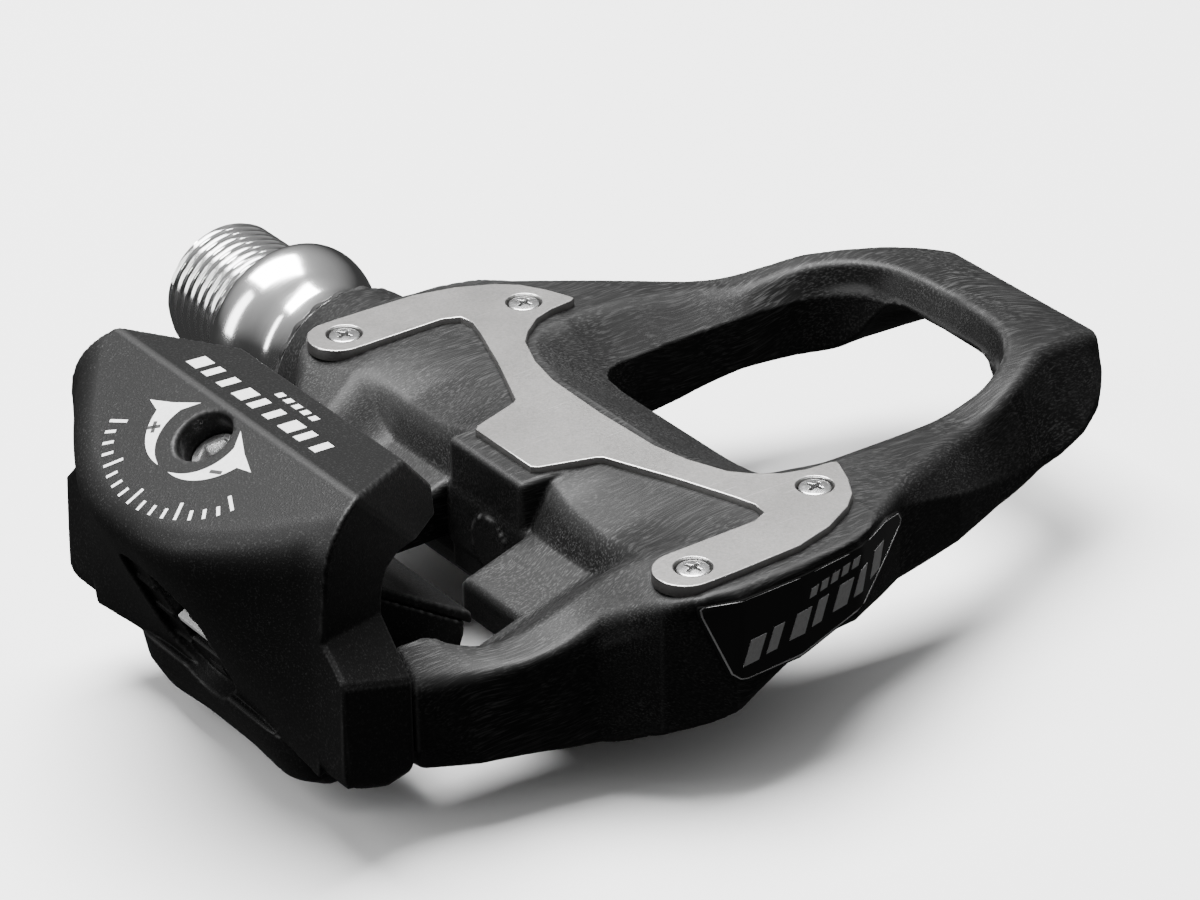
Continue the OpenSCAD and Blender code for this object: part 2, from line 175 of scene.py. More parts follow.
def skin(field, low, high, pitch):
    """Quads over the zero surface of a field: one point in each cell that the surface crosses."""
    axes = [np.arange(a - 2 * pitch, b + 3 * pitch, pitch) for a, b in zip(low, high)]
    slabs = []
    for i in range(0, len(axes[0]), SLAB):
        x = axes[0][i:i + SLAB]
        values = field(x[:, None, None], axes[1][None, :, None], axes[2][None, None, :])
        slabs.append(np.broadcast_to(values, (len(x), len(axes[1]), len(axes[2]))).astype(np.float32))
    grid = np.concatenate(slabs)
    full = grid < 0
    size = [n - 1 for n in grid.shape]
    count = sum(full[i:i + size[0], j:j + size[1], k:k + size[2]].astype(np.int8) for i, j, k in CORNERS)
    cells = np.argwhere((count > 0) & (count < 8))
    index = np.full(size, -1)
    index[tuple(cells.T)] = np.arange(len(cells))
    total = np.zeros((len(cells), 3))
    crossed = np.zeros(len(cells))
    for a, b in EDGES:
        fa = grid[tuple((cells + a).T)]
        fb = grid[tuple((cells + b).T)]
        cut = (fa < 0) != (fb < 0)
        t = np.where(cut, fa / np.where(cut, fa - fb, 1), 0)
        total += np.where(cut[:, None], np.array(a) + t[:, None] * (np.array(b) - np.array(a)), 0)
        crossed += cut
    points = (cells + total / crossed[:, None]) * pitch + np.array([axis[0] for axis in axes])
    quads = []
    for axis in range(3):
        p, q = (axis + 1) % 3, (axis + 2) % 3
        step = [0, 0, 0]
        step[axis] = 1
        inner = [slice(1, size[n]) if n != axis else slice(0, size[axis]) for n in range(3)]
        here = full[tuple(inner)]
        there = full[tuple(slice(s.start + step[n], s.stop + step[n]) for n, s in enumerate(inner))]
        for flip in (False, True):
            found = np.argwhere((here & ~there) if not flip else (~here & there))
            found = found + [1 if n != axis else 0 for n in range(3)]
            ring = []
            for dp, dq in ((1, 1), (0, 1), (0, 0), (1, 0)):
                cell = found.copy()
                cell[:, p] -= dp
                cell[:, q] -= dq
                ring.append(index[tuple(cell.T)])
            quads.append(np.stack(ring[::-1] if flip else ring, axis=1))
    return points, np.vstack(quads)


def slope(field, points, reach):
    """Value, gradient and bend of a field at points."""
    x, v, z = points.T
    middle = field(x, v, z)
    ends = [[field(x + s * (n == 0), v + s * (n == 1), z + s * (n == 2)) for s in (reach, -reach)]
            for n in range(3)]
    gradient = np.stack([(a - b) / (2 * reach) for a, b in ends], axis=1)
    bend = (sum(a + b for a, b in ends) - 6 * middle) / reach ** 2
    return middle, gradient, bend


def unit(rows):
    """Rows scaled to length one."""
    return rows / np.maximum(np.linalg.norm(rows, axis=1), 1e-6)[:, None]


def solid(name, field, low, high, pitch, material):
    """Turns a distance field into an object with clean shading and a record of its convex edges, where the
    materials paint an edge highlight.
    """
    points, quads = skin(field, low, high, pitch)
    reach = pitch * 0.5
    for _ in range(3):
        value, gradient = slope(field, points, reach)[:2]
        length2 = np.maximum((gradient ** 2).sum(1), 0.2)
        move = np.clip(value / length2, -pitch * 0.6, pitch * 0.6)
        points = points - gradient * move[:, None]
    gradient, bend = slope(field, points, reach)[1:]
    # Convex bend marks the edges for the painted edge highlight.
    painted_edge_highlight = np.clip(bend * reach * 0.5, 0, 1)
    return make_object(name, points, quads, material, unit(gradient), painted_edge_highlight)


SPINDLE_FRAME = ((0.0, -MID_Y, 0.0), (1, 0, 0), (0, 0, 1), (0, 1, 0))
BOLT_FRAME = (BOLT_ORIGIN, BOLT_X, (0, 1, 0), BOLT_Z)


def tube_faces(rings, segments):
    """Quads between rings of points, each ring joined to the next."""
    j = np.arange(segments)
    k = (j + 1) % segments
    strip = np.stack([j, k, k + segments, j + segments], 1)
    return [quad for i in range(rings - 1) for quad in (strip + i * segments).tolist()]


def lathe(name, rows, material, where=SPINDLE_FRAME, segments=96, smooth_angle=35):
    """Turned piece round an axis. Each row is (radius, height), and radius may differ round the turn."""
    origin, across, other, axis = (np.asarray(v, float) for v in where)
    turn = np.arange(segments) * 2 * math.pi / segments
    rings = []
    for radius, height in rows:
        r, h = np.broadcast_to(radius, turn.shape), np.broadcast_to(height, turn.shape)
        rings.append(origin + (r * np.cos(turn))[:, None] * across + (r * np.sin(turn))[:, None] * other
                     + h[:, None] * axis)
    faces = tube_faces(len(rows), segments)
    return make_object(name, np.vstack(rings), faces, material, smooth_angle=smooth_angle)


def hexagon(half_width, turn):
    """Radius of a hexagon at each angle of a turn."""
    sixth = math.radians(60)
    return half_width / np.cos((turn + sixth / 2) % sixth - sixth / 2)


def from_pivot(x, z):
    """Distance from the binding's pivot."""
    return np.sqrt((x - PIVOT[0]) ** 2 + (z - PIVOT[1]) ** 2)


# ---------------------------------------------------------------- body of the pedal

TOP_EDGE = np.array([[-33.3, 20.9], [-30.5, 22.1], [-28, 23], [-23.6, 24.2], [-20.7, 24.6], [-18, 24.7],
    [-16.5, 24.9], [-15.6, 25.7], [-13.9, 27.7], [-12.5, 29.9], [-10.4, 31.7], [-7.1, 32.4], [-1.3, 32.6],
    [5.3, 32.2], [9, 31.2], [11.5, 28.9], [17.8, 25], [26.3, 20.6], [34.2, 18.1], [38, 16.6], [42.7, 13.8],
    [48, 12.2], [52.75, 10.9]])
LOW_EDGE = np.array([[-33.3, 20.9], [-28, 22.9], [-22, 23.8], [-17, 25], [-13, 29.2], [-7, 32.5], [0, 32.3],
    [7, 31.4], [11.6, 29], [15.3, 26.9], [24.8, 23.9], [32.5, 20.4], [39.8, 17.8], [42.8, 17.2],
    [46.7, 15.9], [50, 14], [52.75, 11.4]])
EDGE_Z = curve([[-34, 5.7], [-28, 6], [-23.6, 6.4], [-20.7, 6.8], [-18, 7.6], [-15.6, 9], [-13.9, 10],
    [-12.5, 10.8], [-10.4, 11.3], [-7.1, 11.55], [9, 11.55], [11.5, 11.45], [17.8, 11.1], [26.3, 10.1],
    [30, 9.85], [34.2, 10.4], [37.5, 11.05], [42.7, 11.4], [48, 10.5], [53, 8.9]])
RIDGE = curve([[-34, 17.6, 8.1], [-30.2, 18, 8.3], [-28.4, 19.2, 7.6], [-26, 20.2, 6.9], [-23.5, 20.6, 6.7],
    [-20, 20.8, 7.3], [-16, 21.2, 8.7], [-12.9, 21.9, 10.2], [-10.8, 22.8, 11.1], [-8, 23.6, 11.5],
    [-5, 24, 11.6], [4, 24, 11.6]])
UNDER_Z = curve([
    [-34, -4.7], [-26, -4.7], [-17.5, -4], [-10, -1.4], [-4, -0.8], [4, -0.6], [9, 0], [14, 0.7], [20, 1.2],
    [25.5, 1.9], [32.6, 2.2], [39.7, 2.1], [46, 2.1], [50, 2.6], [53, 4]])
WALL_FOOT = curve([[-34, -2.6], [-25.6, -3.4], [-17, -4.2], [-13.2, -3], [-8.7, -1.9], [-4, 0.6], [1, 2.8],
    [6.8, 2.9], [14, 2.1], [21.3, 1.4], [33.7, 0.6], [40, 1], [46, 1.6], [50, 2.4], [53, 4]])
SHOULDER = curve([[-34, 2.5], [-22, 3.5], [-13, 8], [-8, 10], [4, 10.9], [12, 10.6], [21.4, 7.7],
    [30.4, 4.4], [36, 3], [43.3, 2.4], [48, 3.6], [53, 6]])
RIM = half(curve([[3.2, 0], [3.5, 8], [4.9, 14], [7, 17], [10.8, 18.1], [15.6, 18.7], [21.8, 18.2],
    [26.2, 17.4], [30.3, 15.9], [34.8, 14.9], [38, 13.3], [40.4, 11.2], [42.7, 7.4], [43.6, 0]]))
LEDGE = half(curve([[10.2, 0], [10.3, 9.5], [11.4, 12.6], [14, 13.6], [22, 13.9], [32, 13.8], [36.5, 13],
    [39.6, 11], [41.4, 7.6], [42, 0]]))
POCKET_FRONT = curve([[4, -9.6], [6, -10.6], [8, -10.9], [18, -10.9], [24, -10.7]])
LIT_EDGE = curve([[0, -9], [5.8, -10.6], [7.4, -10], [10, -8.3], [15, -7.3], [18.7, -7.1], [21, -6.2],
    [26, -5]])

top_outline = outline(half(TOP_EDGE))
low_outline = outline(half(LOW_EDGE))
rim_outline = outline(RIM)
ledge_outline = outline(LEDGE)


def plate_outline_points():
    """Half of the cleat plate, from the rear tongue round the wing to the front."""
    tip, r = np.array([-9.2, 27.6]), 3.05
    turns = [math.radians(a) for a in range(270, 89, -12)]
    wing = [tip + r * np.array([math.cos(t), math.sin(t)]) for t in turns]
    rear = [[-9.4, 0], [-9.4, 4.4], [-8.9, 4.9], [-3.7, 6.6], [-3.2, 6.95], [-2.3, 9.1], [-0.3, 14],
        [1.8, 19.9], [2.45, 22.2], [2.2, 23.8], [0.6, 24.5]]
    front = [[-5.6, 30.65], [1.1, 30.4], [5.3, 29.3], [8.8, 27.5], [10.6, 25.9], [12, 23.5], [13, 21],
        [13.1, 20.4], [12.5, 20.1], [10, 19.85], [7.8, 19.1], [5.6, 17.4], [4.2, 15.8], [2.7, 12],
        [1.85, 8], [1.6, 0]]
    return np.vstack([rear, wing, front])


def outer_wall(x, v, z):
    """The side walls, which change from the lower outline to the upper one with height."""
    a = np.abs(v)
    shoulder = along(x, SHOULDER)
    share = np.clip((z - shoulder) / np.maximum(along(x, EDGE_Z) - shoulder, 0.6), 0, 1)
    return low_outline(x, a) * (1 - share) + top_outline(x, a) * share


def top_surface(x, a):
    """Height of the upper side: deck, loop arms, rear rails and the sloping pads behind the deck."""
    edge_z = along(x, EDGE_Z)
    edge_a = np.interp(x, TOP_EDGE[:, 0], TOP_EDGE[:, 1])
    ridge_a, ridge_z = along(x, RIDGE), along(x, RIDGE, 2)
    out = np.clip((a - ridge_a) / np.maximum(edge_a - ridge_a, 1), 0, 1.5)
    outside = ridge_z + (edge_z - ridge_z) * out
    pad = 4.7 + 0.303 * (x + 18.1)
    scoop = pad + 1.5 * np.maximum(x - along(a, POCKET_FRONT), 0)
    lit = 10.35 + 0.26 * (x - along(a, LIT_EDGE))
    hollow = soft_min(soft_min(scoop, lit, 1.0), DECK, 0.8)
    rise = smooth((a - 15.4) / np.maximum(ridge_a - 15.4, 1))
    inside = hollow * (1 - rise) + ridge_z * rise
    height = np.where(a > ridge_a, outside, inside)
    return np.where(x > 6, edge_z, np.where(x > -3, np.minimum(height, DECK), height))


def loop_rim(x, a):
    """Height of the slope from the loop's rim down to its ledge."""
    from_rim = np.maximum(-rim_outline(x, a), 0)
    from_ledge = np.maximum(ledge_outline(x, a), 0)
    t = from_rim / np.maximum(from_rim + from_ledge, 1e-3)
    top = np.where(x > 6, along(x, EDGE_Z), DECK)
    return top + (8.0 - top) * t


def tube(x, v, z):
    """Round housing of the spindle, tapered at its outer end."""
    y = v + MID_Y
    radius = np.interp(y, [-80, -76, -72, -68.5, -20, -14, -11.7, -11.5],
                       [0.4, 5.2, 8.7, 9.6, 9.6, 9.2, 9, 8.8])
    around = np.sqrt(x * x + z * z)
    return np.maximum(around - radius, np.maximum(-77.6 - y, y + 11.5))


def platform(x, v, z):
    a = np.abs(v)
    wall = outer_wall(x, v, z)
    top = (z - top_surface(x, a)) * 0.9
    block = soft_max(wall, top, 0.9)
    bar = np.interp(x, [42, 47.4, 52.75, 54], [8.0, 5.9, 4.6, 4.6])
    under = along(x, UNDER_Z)
    under = under + (np.maximum(bar, under) - under) * smooth((13.5 - a) / 7) * smooth((x - 35) / 7)
    inward = np.interp(x, LOW_EDGE[:, 0], LOW_EDGE[:, 1]) - a
    foot = along(x, WALL_FOOT)
    under = foot + (under - foot) * np.clip(inward / 8, 0, 1)
    block = soft_max(block, (under - z) * 0.86, 0.8)
    block = soft_max(block, x - LOOP_END, 1.2)
    block = np.maximum(block, RAIL_END - x)
    # rounded rear ends of the rails, round the pivot
    tail = np.where((x < PIVOT[0]) & (z < PIVOT[1]), from_pivot(x, z) - 4.3, -9.0)
    return soft_max(block, tail, 0.5)


def loop_cut(x, v, z):
    """The front loop: a slope inside the rim, a ledge, and an upright wall below it."""
    a = np.abs(v)
    hole = ledge_outline(x, a)
    slope_part = soft_max(rim_outline(x, a), (loop_rim(x, a) - z) * 0.8, 0.3)
    return np.minimum(hole, slope_part)


def bay_cut(x, v, z):
    """The bay for the binding's springs, the slots beside the pads and the notch behind the middle block."""
    bay = box_field(x, v, z, (-60, -14.6, -20), (-18.4, 14.6, 20))
    slots = box_field(x, v, z, (-25, -14.6, -20), (-10.6, 14.6, 0.9))
    notch = box_field(x, v, z, (-25, -6.2, -20), (-11.5, 6.2, 20))
    return np.minimum(np.minimum(bay, slots), notch)


def body_field(x, v, z):
    a = np.abs(v)
    y = v + MID_Y
    around = np.sqrt(x * x + z * z)
    f = soft_max(platform(x, v, z), -bay_cut(x, v, z), 0.7)
    middle = soft_max(soft_max(a - 5.8, z - DECK, 0.5), soft_max(-11.5 - x, x - 3, 0.5), 0.5)
    middle = np.maximum(middle, (along(x, UNDER_Z) - z) * 0.9)
    f = soft_min(f, middle, 0.5)
    f = soft_max(f, -loop_cut(x, v, z), 0.6)
    f = soft_min(f, tube(x, v, z), 2.2)
    f = np.maximum(f, z - DECK - 0.02)
    boss = np.sqrt((v + 0.8) ** 2 + (z - 3.2) ** 2) - 2.9
    f = np.minimum(f, np.maximum(boss, np.maximum(-11.85 - x, x + 11)))
    bore = np.maximum(around - 8.0, np.maximum(-72 - y, y + 10))
    nut_bore = np.maximum(around - 6.2, np.maximum(-75.6 - y, y + 11.5))
    f = np.maximum(f, -np.minimum(bore, nut_bore))
    return np.maximum(f, -np.maximum(from_pivot(x, z) - PIN_BORE, -17.5 - v))


def make_body(material):
    pitch = 0.42
    body = solid("platform_body", body_field, (-33.4, -33.2, -9.7), (52.8, 40.6, 11.8), pitch, material)
    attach(body, "pedal_body")
    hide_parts("body_shell")


def make_plate(material):
    """Flat plate with a fine bevel and four countersunk holes, filled between its outlines."""
    half_thick, bevel_width, hole_r = 0.6, 0.11, 1.74
    rim = plate_outline_points()
    rim = np.vstack([rim, rim[::-1] * [1, -1]])
    turn = np.arange(48) * math.pi / 24
    holes = [[[x + hole_r * math.cos(t), side * v + hole_r * math.sin(t)] for t in turn]
             for x, v in SCREWS for side in (1, -1)]
    flat = bpy.data.curves.new("cleat_plate", "CURVE")
    flat.dimensions, flat.fill_mode = "2D", "BOTH"
    flat.extrude = (half_thick - bevel_width) * MM
    flat.bevel_depth, flat.offset = bevel_width * MM, -bevel_width * MM
    flat.bevel_resolution = 2
    for ring in [rim] + holes:
        line = flat.splines.new("POLY")
        line.points.add(len(ring) - 1)
        for point, (x, v) in zip(line.points, ring):
            point.co = (x * MM, (v + MID_Y) * MM, 0, 1)
        line.use_cyclic_u = True
    source = bpy.data.objects.new("plate_outline", flat)
    source.location.z = (PLATE_TOP - half_thick) * MM
    bpy.context.scene.collection.objects.link(source)
    bpy.context.view_layer.update()
    mesh = bpy.data.meshes.new_from_object(source.evaluated_get(bpy.context.evaluated_depsgraph_get()))
    mesh.transform(source.matrix_world)
    bpy.data.objects.remove(source)
    mesh.polygons.foreach_set("use_smooth", [True] * len(mesh.polygons))
    mesh.set_sharp_from_angle(angle=math.radians(32))
    high = max(vertex.co.z for vertex in mesh.vertices)
    # The band of the top bevel is marked for a painted bright rim, a painted edge highlight.
    layer = mesh.attributes.new("painted_edge_highlight", "FLOAT", "POINT")
    highlit_rim = [high - 0.2 * MM < vertex.co.z < high - 0.001 * MM for vertex in mesh.vertices]
    layer.data.foreach_set("value", [0.75 * on for on in highlit_rim])
    mesh.materials.clear()
    mesh.materials.append(material)
    plate = bpy.data.objects.new("cleat_plate", mesh)
    bpy.context.scene.collection.objects.link(plate)
    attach(plate, "pedal_body")
    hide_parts("cover_plate")


def screw_field(x, v, z):
    """One cross-recess screw head with its shank."""
    r = np.sqrt(x * x + v * v)
    head = soft_max(r - 1.5, z + 0.12 * (r / 1.5) ** 2, 0.16)
    head = np.maximum(head, -1.0 - z)
    f = np.minimum(head, np.maximum(r - 1.2, np.maximum(-7.2 - z, z + 0.5)))
    c, s = math.cos(math.radians(20)), math.sin(math.radians(20))
    p, q = np.abs(x * c + v * s), np.abs(v * c - x * s)
    taper = 0.1 * z
    cross = np.minimum(np.maximum(p - 0.86 - taper, q - 0.17 - taper),
                       np.maximum(q - 0.86 - taper, p - 0.17 - taper))
    cross = np.minimum(cross, r - 0.36 - taper)
    return np.maximum(f, -np.maximum(cross, -0.75 - z))


def make_screws(material):
    """The same screw at its four places, as one piece."""
    points, quads = skin(screw_field, (-2.1, -2.1, -7.3), (2.1, 2.1, 0.1), 0.085)
    for _ in range(2):
        value, gradient = slope(screw_field, points, 0.04)[:2]
        points = points - gradient * np.clip(value, -0.05, 0.05)[:, None]
    gradient, bend = slope(screw_field, points, 0.04)[1:]
    normals = unit(gradient)
    places = [(x, side * v) for x, v in SCREWS for side in (1, -1)]
    everything = np.vstack([points + [x, v, PLATE_TOP - 0.04] for x, v in places])
    faces = np.vstack([quads + i * len(points) for i in range(len(places))])
    # Convex bend is stored as the painted edge highlight mark; the screw steel does not read it.
    screws = make_object("plate_screws", everything, faces, material, np.tile(normals, (len(places), 1)),
                         np.tile(np.clip(bend * 0.02, 0, 1), len(places)))
    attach(screws, "pedal_body")
    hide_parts("cover_screws")


# ---------------------------------------------------------------- side label

LABEL_LEFT = np.array([[2.4, -6.6], [2.6, -7.4], [3.2, -8.1], [10.3, -10.75], [10.6, -10.6]])
LABEL_RIGHT = np.array([[2.4, -0.5], [4.4, 8], [8.4, 15], [8.9, 15.2], [9.8, 14.6], [10.6, 12]])


def on_wall(x, z, lift):
    """Points on the outboard wall at (x, z), lifted off it."""
    near, far = np.full(x.shape, -8.0), np.full(x.shape, -37.0)
    for _ in range(26):
        middle = (near + far) / 2
        inside = outer_wall(x, middle, z) < lift
        near, far = np.where(inside, middle, near), np.where(inside, far, middle)
    return np.stack([x, near, z], axis=-1)


def wall_patch(x, z, lift, depth, start):
    """A thin curved panel on the wall over a grid of (x, z). Returns its points and faces."""
    rows, columns = x.shape
    front, back = on_wall(x, z, lift).reshape(-1, 3), on_wall(x, z, lift - depth).reshape(-1, 3)
    cell = [(i * columns + j, i * columns + j + 1, (i + 1) * columns + j + 1, (i + 1) * columns + j)
            for i in range(rows - 1) for j in range(columns - 1)]
    n = rows * columns
    rim = ([(0, j) for j in range(columns)] + [(i, columns - 1) for i in range(1, rows)]
           + [(rows - 1, j) for j in range(columns - 2, -1, -1)] + [(i, 0) for i in range(rows - 2, 0, -1)])
    rim = [i * columns + j for i, j in rim]
    faces = [list(c) for c in cell] + [[n + k for k in c[::-1]] for c in cell]
    faces += [[a, a + n, b + n, b] for a, b in zip(rim, rim[1:] + rim[:1])]
    return np.vstack([front, back]), [[start + k for k in f] for f in faces]


def wall_piece(name, grids, lift, depth, material):
    points, faces = [], []
    for x, z in grids:
        start = sum(map(len, points))
        more, quads = wall_patch(np.asarray(x, float), np.asarray(z, float), lift, depth, start)
        points.append(more)
        faces += quads
    piece = make_object(name, np.vstack(points), faces, material, smooth_angle=30)
    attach(piece, "pedal_body")
    return piece


def bar_grid(corners, count=5):
    """Four corners filled with a grid."""
    a, b, c, d = (np.array(p, float) for p in corners)
    s, t = np.meshgrid(np.linspace(0, 1, count), np.linspace(0, 1, count))
    grid = [a[k] * (1 - s) * (1 - t) + b[k] * s * (1 - t) + c[k] * s * t + d[k] * (1 - s) * t for k in (0, 1)]
    return grid[0], grid[1]


def slanted_bars():
    """Generic slanted bars printed on the label: a row of large ones and a short row of small ones."""
    bars = []
    for i in range(7):
        x, low, width = -6.9 + 2.6 * i, 3.9 + 0.33 * i + 0.012 * i * i, 1.2 if i % 2 else 1.75
        bars.append([[x, low], [x + width, low + 0.12], [x + width + 0.9, low + 2.5], [x + 0.9, low + 2.38]])
    for i in range(5):
        x, low = 0.6 + 1.3 * i, 8.0 + 0.2 * i
        bars.append([[x, low], [x + 0.85, low + 0.1], [x + 1.15, low + 1.0], [x + 0.3, low + 0.9]])
    return bars


def label_border(inset, width):
    """A narrow closed line just inside the label's edge."""
    ring = np.vstack([LABEL_LEFT[::-1, ::-1], LABEL_RIGHT[:, ::-1]])
    away = unit(ring - np.array([2.5, 6.9]))
    edges = [ring - away * distance for distance in (inset, inset + width)]
    t = np.linspace(0, 1, 8)[None, :]
    grids = []
    for i in range(len(ring)):
        j = (i + 1) % len(ring)
        sides = [[edge[i, n] + (edge[j, n] - edge[i, n]) * t for edge in edges] for n in (0, 1)]
        grids.append([np.vstack(side) for side in sides])
    return grids


def make_label(gloss, silver):
    """Glossy badge laid on the outboard wall, with a thin border and generic slanted bars."""
    z = np.concatenate([np.linspace(2.4, 3.2, 4), np.linspace(3.5, 10.2, 22), [10.45, 10.6]])
    s = np.linspace(0, 1, 60)[None, :]
    left = np.interp(z, LABEL_LEFT[:, 0], LABEL_LEFT[:, 1])[:, None]
    right = np.interp(z, LABEL_RIGHT[:, 0], LABEL_RIGHT[:, 1])[:, None]
    face = (left + (right - left) * s, np.repeat(z[:, None], 60, axis=1))
    label = wall_piece("side_badge", [face], 0.26, 0.5, gloss)
    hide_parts("side_label")
    wall_piece("side_badge_line", label_border(0.25, 0.14), 0.29, 0.06, silver)
    wall_piece("side_badge_bars", [bar_grid(bar) for bar in slanted_bars()], 0.3, 0.08, silver)


# ---------------------------------------------------------------- binding

CLAW_SIDE = [
    [-24.4, 18.4], [-28.6, 23.2], [-60, 31.31], [-60, -1.2], [-41.2, -1.2], [-39.6, -2.9], [-38.4, -3.2],
    [-33.6, -3.2], [-33.6, 9.8], [-33.5, 14.2], [-32.9, 15.6], [-31.4, 16.35], [-24.6, 15.8]]
REAR_BOW = curve([[0, 1], [4, 0.985], [7.8, 0.86], [11, 0.65], [14, 0.43], [17, 0.2], [19.9, 0.0],
    [24, -0.06], [40, -0.1]])
HOUSING_SIDE = [[-42, -0.5], [-41.3, -3.9], [-39.9, -6.3], [-37.6, -7.5], [-33.4, -7.5], [-30.8, -2],
    [-33.6, 0]]
RIDGE_END = np.array([-37.5, 19.74, 25.5])
LIP_FACET = (0.612, 0.770, 0.181)
UNDER_FACET = (0.392, 0.915, -0.100)
CHEEK = ([[-36, 12], [-33.4, 11.9], [-23.6, 5.7], [-24.4, 1.5]]
         + [[PIVOT[0] + 3.7 * math.cos(math.radians(a)), PIVOT[1] + 3.7 * math.sin(math.radians(a))]
            for a in range(20, -101, -15)] + [[-36, -4.4]])
SPRING_BAY = [[-36, -10], [-36, 11.8], [-20, 1.7], [-20, -10]]

claw_side = outline(CLAW_SIDE)
housing_side = outline(HOUSING_SIDE)
cheek_side = outline(CHEEK)
spring_bay = outline(SPRING_BAY)


def in_bolt_frame(x, z):
    """Coordinates across and along the tension bolt."""
    dx, dz = x - BOLT_ORIGIN[0], z - BOLT_ORIGIN[2]
    return dx * BOLT_X[0] + dz * BOLT_X[2], dx * BOLT_Z[0] + dz * BOLT_Z[2]


def facet(x, a, z, normal):
    return (x - RIDGE_END[0]) * normal[0] + (a - RIDGE_END[1]) * normal[1] + (z - RIDGE_END[2]) * normal[2]


def rear_wall(x, a, z):
    """The wall behind the claw: leaning in the middle, bowed, and upright at its side edges."""
    middle = BOLT_ORIGIN[0] + (-11.35 - BOLT_X[2] * (z - BOLT_ORIGIN[2])) / BOLT_X[0]
    edge = -42.2
    return (edge + (middle - edge) * along(a, REAR_BOW) - x) * 0.88


def claw_field(x, v, z):
    a = np.abs(v)
    across, up = in_bolt_frame(x, z)
    side = claw_side(x, z)
    rear = rear_wall(x, a, z)
    head = soft_max(up, rear, 3.2)
    flank = bevel(facet(x, a, z, LIP_FACET), facet(x, a, z, UNDER_FACET), 0.12)
    head = bevel(bevel(head, side, 0.16), flank, 0.2)
    arm_top = (z - 11.3 + 1.02 * (a - 16.7) + 0.66 * (x + 33.6)) * 0.64
    arm_side = (a - 21.1 + 0.253 * (x + 33.6)) * 0.97
    arms = bevel(bevel(arm_side, arm_top, 0.25), np.maximum(side, soft_max(up + 1.8, rear, 3.2)), 0.3)
    arms = soft_max(arms, (-3.2 - z) * 0.9 + 0.4 * np.maximum(-36.8 - x, 0), 2.2)
    f = np.minimum(head, arms)
    housing = soft_max(housing_side(x, z), 0.55 * (a - CHEEK_OUT), 3.6)
    cheek = np.maximum(cheek_side(x, z), np.maximum(a - CHEEK_OUT, CHEEK_IN - a))
    f = np.minimum(f, np.minimum(soft_max(housing, rear - 1.3, 0.8), cheek))
    bay = np.maximum(np.maximum(-9.2 - across, across - 3.2), np.maximum(a - CHEEK_IN, up + 7.8))
    bay = np.minimum(bay, np.maximum(spring_bay(x, z), a - CHEEK_IN))
    f = np.maximum(f, -bay)
    shaft = np.sqrt(across ** 2 + v ** 2)
    mouth = soft_min(shaft - 2.72, -(up + 0.22) + shaft - 2.72, 0.1)
    hole = np.minimum(shaft - 2.15, np.maximum(mouth, -5.5 - up))
    f = np.maximum(f, -np.maximum(hole, -12 - up))
    capsule = np.sqrt(v ** 2 + (up - np.clip(up, -16.6, -11.3)) ** 2) - 5.8
    f = bevel(f, -np.maximum(capsule, across + 10.45), 0.12)
    slot = np.maximum(a - 2.65, np.maximum(-18.6 - up, up + 9.6))
    f = np.maximum(f, -np.maximum(slot, across + 7))
    ribs = np.minimum.reduce([np.abs(up + depth) for depth in (8, 11.8, 15.6, 19.4)])
    ribs = np.maximum(np.maximum(ribs - 0.35, np.abs(a - 4.35) - 1.45), np.abs(across + 10.4) - 0.3)
    f = np.minimum(f, ribs)
    r = from_pivot(x, z)
    f = np.maximum(f, -np.maximum(r - PIN_BORE, a - 20))
    return np.maximum(f, -np.maximum(r - 4.6, CHEEK_OUT - a))


def make_claw(material):
    pitch = 0.32
    claw = solid("binding_claw", claw_field, (-50.6, -24.3, -8.1), (-23.4, 24.3, 25.6), pitch, material)
    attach(claw, "claw")
    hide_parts("rear_claw")


def make_cover(material):
    """Thin sloping lid over the springs, notched for the tension bolt."""
    direction = np.array([-22.6 + 33.3, 5.08 - 11.86])
    direction /= np.linalg.norm(direction)

    def field(x, v, z):
        a = np.abs(v)
        across = in_bolt_frame(x, z)[0]
        level = (x + 33.3) * -direction[1] + (z - 11.86) * direction[0]
        f = bevel(level - 1.0, np.maximum(-33.3 - x, x + 22.7), 0.2)
        f = bevel(np.maximum(f, -level), a - 14.25, 0.2)
        return np.maximum(f, -(np.sqrt(across ** 2 + v ** 2) - 2.45))
    lid = solid("spring_lid", field, (-33.5, -14.4, 4.8), (-22.4, 14.4, 13.2), 0.3, material)
    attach(lid, "claw")
    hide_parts("spring_cover")


def print_on(name, shapes, origin, along_a, along_b, out, lift, material, body, slot_name):
    """Thin printed shapes on a flat face: each shape is a list of (a, b) in millimetres."""
    points, faces = [], []
    for shape in shapes:
        n, start = len(shape), len(points)
        for height in (lift - 0.08, lift):
            points += [origin + a * along_a + b * along_b + height * out for a, b in shape]
        ring = list(range(start + n, start + 2 * n))
        faces += [ring, [i - n for i in ring[::-1]]]
        faces += [[start + i, start + (i + 1) % n, start + n + (i + 1) % n, start + n + i] for i in range(n)]
    mark = make_object(name, np.array(points), faces, material, smooth_angle=20)
    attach(mark, body)


def crescent(side):
    """A turning arrow round the bolt's hole, from a thin tail to a barbed head, as (across, v)."""
    steps = np.linspace(0, 1, 17)
    outer = [(4.7 + 1.9 * t ** 1.1, math.radians(10 + 74 * t)) for t in steps]
    inner = [(4.65 - 0.25 * t, math.radians(10 + 88 * t)) for t in steps[:0:-1]]
    head = [(8.3, math.radians(88)), (5.9, math.radians(97)), (3.9, math.radians(124))]
    return [(0.1 - r * math.cos(t), side * (0.3 * side + r * math.sin(t))) for r, t in outer + head + inner]


def bar_shape(a, b, length, width, turn):
    """Corners of a bar about (a, b), turned in its plane."""
    c, s = math.cos(turn), math.sin(turn)
    p, q = length / 2, width / 2
    return [(a + p * c - q * s, b + p * s + q * c) for p, q in ((-p, -q), (p, -q), (p, q), (-p, q))]


